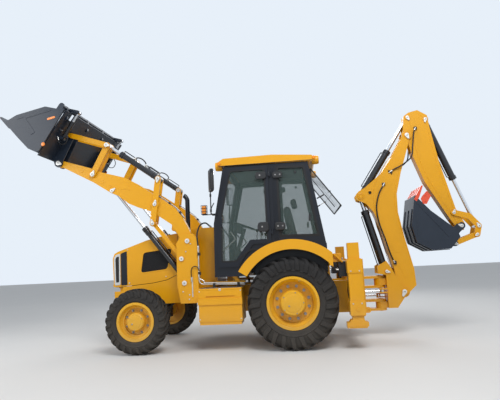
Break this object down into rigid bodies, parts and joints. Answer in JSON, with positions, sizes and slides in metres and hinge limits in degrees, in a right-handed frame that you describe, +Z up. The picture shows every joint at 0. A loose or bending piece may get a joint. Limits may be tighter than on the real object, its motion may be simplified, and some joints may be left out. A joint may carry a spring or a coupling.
{
  "type": "backhoe loader",
  "caption": "Wheeled backhoe loader with a parallel-lift clam bucket, glazed cab, side-shift hoe and drop legs.",
  "frame": {"origin": "middle of the whole machine's box, on the ground", "axes": "+X forward, +Y to the machine's left, +Z up"},
  "size_m": [7.602, 2.3, 3.95],
  "materials": {
    "yellow_paint": "semi-gloss",
    "black_paint": "semi-gloss",
    "bucket_paint": "satin",
    "barrel_paint": "gloss",
    "grille_paint": "satin",
    "chrome_rod": "polished",
    "pin_steel": "zinc plated",
    "cast_iron": "painted black",
    "tyre_rubber": "matte",
    "glass": "tinted",
    "cab_trim": "matte",
    "lamp_lens": "gloss"
  },
  "bodies": {
    "root": {"chassis": "yellow_paint", "driveline": "cast_iron", "side_boxes": "yellow_paint", "cab_frame": "black_paint", "cab_roof": "yellow_paint", "cab_glass": "glass", "operator_station": "cab_trim", "exhaust": "black_paint", "lamps": "lamp_lens"},
    "hood": {"hood": "yellow_paint", "grilles": "grille_paint"},
    "door_left": {"door_left": "black_paint", "door_left_glass": "glass"},
    "door_right": {"door_right": "black_paint", "door_right_glass": "glass"},
    "wheel_rear_left": {"rear_tyre_left": "tyre_rubber", "rear_rim_left": "yellow_paint"},
    "wheel_rear_right": {"rear_tyre_right": "tyre_rubber", "rear_rim_right": "yellow_paint"},
    "wheel_front_left": {"front_tyre_left": "tyre_rubber", "front_rim_left": "yellow_paint"},
    "wheel_front_right": {"front_tyre_right": "tyre_rubber", "front_rim_right": "yellow_paint"},
    "knuckle_left": {"knuckle_left": "cast_iron"},
    "knuckle_right": {"knuckle_right": "cast_iron"},
    "loader_arms": {"loader_arms": "yellow_paint"},
    "rear_levers": {"rear_levers": "yellow_paint"},
    "lower_links": {"lower_links": "yellow_paint"},
    "lever_top_pins": {"lever_top_pins": "pin_steel"},
    "front_lever_pins": {"front_lever_pins": "pin_steel"},
    "link_pins": {"link_pins": "pin_steel"},
    "bucket_hinge_pins": {"bucket_hinge_pins": "pin_steel"},
    "tilt_barrels": {"tilt_barrels": "barrel_paint"},
    "tilt_rods": {"tilt_rods": "chrome_rod"},
    "front_levers": {"front_levers": "yellow_paint"},
    "bucket_links": {"bucket_links": "yellow_paint"},
    "bucket_back": {"bucket_back": "bucket_paint"},
    "bucket_clam": {"bucket_clam": "bucket_paint"},
    "clam_barrels": {"clam_barrels": "barrel_paint"},
    "clam_rods": {"clam_rods": "chrome_rod"},
    "lift_barrels": {"lift_barrels": "barrel_paint"},
    "lift_rods": {"lift_rods": "chrome_rod"},
    "carriage": {"carriage": "yellow_paint"},
    "kingpost": {"kingpost": "yellow_paint"},
    "swing_rod_left": {"swing_rod_left": "chrome_rod"},
    "swing_rod_right": {"swing_rod_right": "chrome_rod"},
    "boom": {"boom": "yellow_paint"},
    "dipper": {"dipper": "yellow_paint"},
    "hoe_bucket": {"hoe_bucket": "bucket_paint"},
    "idler": {"idler": "yellow_paint"},
    "hoe_link": {"hoe_link": "yellow_paint"},
    "boom_barrel": {"boom_barrel": "barrel_paint"},
    "boom_rod": {"boom_rod": "chrome_rod"},
    "dipper_barrel": {"dipper_barrel": "barrel_paint"},
    "dipper_rod": {"dipper_rod": "chrome_rod"},
    "hoe_bucket_barrel": {"hoe_bucket_barrel": "barrel_paint"},
    "hoe_bucket_rod": {"hoe_bucket_rod": "chrome_rod"},
    "leg_left": {"leg_left": "yellow_paint"},
    "leg_right": {"leg_right": "yellow_paint"}
  },
  "joints": [
    {"name": "rear_wheel_left_spin", "type": "hinge", "parent": "root", "child": "wheel_rear_left", "pos_m": [-0.745, 0.865, 0.67], "axis": [0, 1, 0], "continuous": true},
    {"name": "rear_wheel_right_spin", "type": "hinge", "parent": "root", "child": "wheel_rear_right", "pos_m": [-0.745, -0.865, 0.67], "axis": [0, 1, 0], "continuous": true},
    {"name": "steer_left", "type": "hinge", "parent": "root", "child": "knuckle_left", "pos_m": [1.612, 0.69, 0.485], "axis": [0, 0, 1], "range_deg": [-30, 30]},
    {"name": "steer_right", "type": "hinge", "parent": "root", "child": "knuckle_right", "pos_m": [1.612, -0.69, 0.485], "axis": [0, 0, 1], "range_deg": [-30.5, 30.5]},
    {"name": "front_wheel_left_spin", "type": "hinge", "parent": "knuckle_left", "child": "wheel_front_left", "pos_m": [1.612, 0.911, 0.485], "axis": [0, 1, 0], "continuous": true},
    {"name": "front_wheel_right_spin", "type": "hinge", "parent": "knuckle_right", "child": "wheel_front_right", "pos_m": [1.612, -0.911, 0.485], "axis": [0, 1, 0], "continuous": true},
    {"name": "door_left_open", "type": "hinge", "parent": "root", "child": "door_left", "pos_m": [-0.495, 0.8, 2], "axis": [0, 0, 1], "range_deg": [0, 85]},
    {"name": "door_right_open", "type": "hinge", "parent": "root", "child": "door_right", "pos_m": [-0.495, -0.8, 2], "axis": [0, 0, -1], "range_deg": [0, 85]},
    {"name": "hood_open", "type": "hinge", "parent": "root", "child": "hood", "pos_m": [2.135, 0, 1], "axis": [0, 1, 0], "range_deg": [0, 50]},
    {"name": "loader_lift", "type": "hinge", "parent": "root", "child": "loader_arms", "pos_m": [0.865, 0, 1.665], "axis": [0, -1, 0], "range_deg": [-71, 8]},
    {"name": "rear_lever_turn", "type": "hinge", "parent": "loader_arms", "child": "rear_levers", "pos_m": [1.383, 0, 2.286], "axis": [0, -1, 0], "range_deg": [-7.95, 66.62]},
    {"name": "lower_link_turn", "type": "hinge", "parent": "root", "child": "lower_links", "pos_m": [0.965, 0, 1.39], "axis": [0, -1, 0], "range_deg": [-78.1, 9.24]},
    {"name": "lever_top_pin_turn", "type": "hinge", "parent": "rear_levers", "child": "lever_top_pins", "pos_m": [1.324, 0, 2.703], "axis": [0, -1, 0], "range_deg": [-73.18, 8.69]},
    {"name": "tilt_barrel_turn", "type": "hinge", "parent": "lever_top_pins", "child": "tilt_barrels", "pos_m": [1.324, 0, 2.703], "axis": [0, 1, 0], "range_deg": [-0.5, 18.48]},
    {"name": "tilt_rod_slide", "type": "slide", "parent": "tilt_barrels", "child": "tilt_rods", "axis": [0.8085, 0, 0.5885], "range_m": [-0.002, 0.5419]},
    {"name": "front_pin_turn", "type": "hinge", "parent": "loader_arms", "child": "front_lever_pins", "pos_m": [2.433, 0, 2.851], "axis": [0, -1, 0], "range_deg": [-6.63, 54.89]},
    {"name": "front_lever_turn", "type": "hinge", "parent": "front_lever_pins", "child": "front_levers", "pos_m": [2.433, 0, 2.851], "axis": [0, 1, 0], "range_deg": [-0.5, 78.3]},
    {"name": "link_pin_turn", "type": "hinge", "parent": "front_levers", "child": "link_pins", "pos_m": [2.18, 0, 3.326], "axis": [0, 1, 0], "range_deg": [-65.4, 0.5]},
    {"name": "bucket_link_turn", "type": "hinge", "parent": "link_pins", "child": "bucket_links", "pos_m": [2.18, 0, 3.326], "axis": [0, -1, 0], "range_deg": [-54.76, 6.61]},
    {"name": "hinge_pin_turn", "type": "hinge", "parent": "loader_arms", "child": "bucket_hinge_pins", "pos_m": [3.03, 0, 3.085], "axis": [0, -1, 0], "range_deg": [-7.03, 58.46]},
    {"name": "bucket_tilt", "type": "hinge", "parent": "bucket_hinge_pins", "child": "bucket_back", "pos_m": [3.03, 0, 3.085], "axis": [0, 1, 0], "range_deg": [0, 95]},
    {"name": "clam_open", "type": "hinge", "parent": "bucket_back", "child": "bucket_clam", "pos_m": [2.735, 0, 3.905], "axis": [0, -1, 0], "range_deg": [0, 50]},
    {"name": "clam_barrel_turn", "type": "hinge", "parent": "bucket_back", "child": "clam_barrels", "pos_m": [2.847, 0, 3.446], "axis": [0, -1, 0], "range_deg": [-3.83, 0.5]},
    {"name": "clam_rod_slide", "type": "slide", "parent": "clam_barrels", "child": "clam_rods", "axis": [-0.5377, 0, 0.8432], "range_m": [-0.1338, 0.002]},
    {"name": "lift_barrel_turn", "type": "hinge", "parent": "root", "child": "lift_barrels", "pos_m": [0.927, 0, 1.012], "axis": [0, -1, 0], "range_deg": [-64.25, 7.68]},
    {"name": "lift_rod_slide", "type": "slide", "parent": "lift_barrels", "child": "lift_rods", "axis": [0.6087, 0, 0.7934], "range_m": [-0.7386, 0.085]},
    {"name": "side_shift", "type": "slide", "parent": "root", "child": "carriage", "axis": [0, 1, 0], "range_m": [-0.5, 0.5]},
    {"name": "swing", "type": "hinge", "parent": "carriage", "child": "kingpost", "pos_m": [-2.155, 0, 0.8], "axis": [0, 0, 1], "range_deg": [-90, 90]},
    {"name": "swing_rod_left_turn", "type": "hinge", "parent": "kingpost", "child": "swing_rod_left", "pos_m": [-2.155, 0.18, 0.73], "axis": [0, 0, 1], "range_deg": [-90.5, 90.5]},
    {"name": "swing_rod_right_turn", "type": "hinge", "parent": "kingpost", "child": "swing_rod_right", "pos_m": [-2.155, -0.18, 0.632], "axis": [0, 0, 1], "range_deg": [-90.5, 90.5]},
    {"name": "boom_lower", "type": "hinge", "parent": "kingpost", "child": "boom", "pos_m": [-2.51, 0, 0.7], "axis": [0, -1, 0], "range_deg": [0, 139]},
    {"name": "boom_barrel_turn", "type": "hinge", "parent": "kingpost", "child": "boom_barrel", "pos_m": [-2.263, 0, 1.031], "axis": [0, -1, 0], "range_deg": [-0.5, 138.53]},
    {"name": "boom_rod_slide", "type": "slide", "parent": "boom_barrel", "child": "boom_rod", "axis": [0.2359, 0, 0.9718], "range_m": [-0.002, 0.7752]},
    {"name": "dipper_out", "type": "hinge", "parent": "boom", "child": "dipper", "pos_m": [-2.795, 0, 3.268], "axis": [0, 1, 0], "range_deg": [0, 122]},
    {"name": "dipper_barrel_turn", "type": "hinge", "parent": "boom", "child": "dipper_barrel", "pos_m": [-1.961, 0, 2.275], "axis": [0, 1, 0], "range_deg": [-0.5, 2.24]},
    {"name": "dipper_rod_slide", "type": "slide", "parent": "dipper_barrel", "child": "dipper_rod", "axis": [-0.5589, 0, 0.8292], "range_m": [-0.5503, 0.002]},
    {"name": "hoe_bucket_open", "type": "hinge", "parent": "dipper", "child": "hoe_bucket", "pos_m": [-3.511, 0, 1.701], "axis": [0, 1, 0], "range_deg": [0, 170]},
    {"name": "idler_turn", "type": "hinge", "parent": "dipper", "child": "idler", "pos_m": [-3.414, 0, 1.919], "axis": [0, 1, 0], "range_deg": [-0.5, 106.7]},
    {"name": "hoe_link_turn", "type": "hinge", "parent": "hoe_bucket", "child": "hoe_link", "pos_m": [-3.381, 0, 1.421], "axis": [0, 1, 0], "range_deg": [-99, 0.5]},
    {"name": "hoe_bucket_barrel_turn", "type": "hinge", "parent": "dipper", "child": "hoe_bucket_barrel", "pos_m": [-3.128, 0, 3.524], "axis": [0, 1, 0], "range_deg": [-0.89, 0.5]},
    {"name": "hoe_bucket_rod_slide", "type": "slide", "parent": "hoe_bucket_barrel", "child": "hoe_bucket_rod", "axis": [-0.3314, 0, -0.9435], "range_m": [-0.6886, 0.002]},
    {"name": "leg_left_down", "type": "slide", "parent": "root", "child": "leg_left", "axis": [0, 0, -1], "range_m": [0, 0.5]},
    {"name": "leg_right_down", "type": "slide", "parent": "root", "child": "leg_right", "axis": [0, 0, -1], "range_m": [0, 0.5]}
  ],
  "couplings": [
    {"joint": "steer_right", "follows": "steer_left", "ratio": 1},
    {"joint": "rear_lever_turn", "follows": "loader_lift", "ratio": -0.9312},
    {"joint": "lower_link_turn", "follows": "loader_lift", "ratio": 1.0929},
    {"joint": "lever_top_pin_turn", "follows": "loader_lift", "ratio": 1.0237},
    {"joint": "tilt_barrel_turn", "follows": "bucket_tilt", "ratio": 0.1893},
    {"joint": "tilt_rod_slide", "follows": "bucket_tilt", "m_per_rad": 0.3256},
    {"joint": "front_pin_turn", "follows": "loader_lift", "ratio": -0.7661},
    {"joint": "front_lever_turn", "follows": "bucket_tilt", "ratio": 0.8189},
    {"joint": "link_pin_turn", "follows": "bucket_tilt", "ratio": -0.6832},
    {"joint": "bucket_link_turn", "follows": "loader_lift", "ratio": 0.7642},
    {"joint": "hinge_pin_turn", "follows": "loader_lift", "ratio": -0.8164},
    {"joint": "clam_barrel_turn", "follows": "clam_open", "ratio": -0.0666},
    {"joint": "clam_rod_slide", "follows": "clam_open", "m_per_rad": -0.151},
    {"joint": "lift_barrel_turn", "follows": "loader_lift", "ratio": 0.8979},
    {"joint": "lift_rod_slide", "follows": "loader_lift", "m_per_rad": 0.5944},
    {"joint": "swing_rod_left_turn", "follows": "swing", "ratio": -1},
    {"joint": "swing_rod_right_turn", "follows": "swing", "ratio": -1},
    {"joint": "boom_barrel_turn", "follows": "boom_lower", "ratio": 0.993},
    {"joint": "boom_rod_slide", "follows": "boom_lower", "m_per_rad": 0.3187},
    {"joint": "dipper_barrel_turn", "follows": "dipper_out", "ratio": 0.0143},
    {"joint": "dipper_rod_slide", "follows": "dipper_out", "m_per_rad": -0.2575},
    {"joint": "idler_turn", "follows": "hoe_bucket_open", "ratio": 0.6247},
    {"joint": "hoe_link_turn", "follows": "hoe_bucket_open", "ratio": -0.5794},
    {"joint": "hoe_bucket_barrel_turn", "follows": "hoe_bucket_open", "ratio": -0.0023},
    {"joint": "hoe_bucket_rod_slide", "follows": "hoe_bucket_open", "m_per_rad": -0.2314}
  ]
}
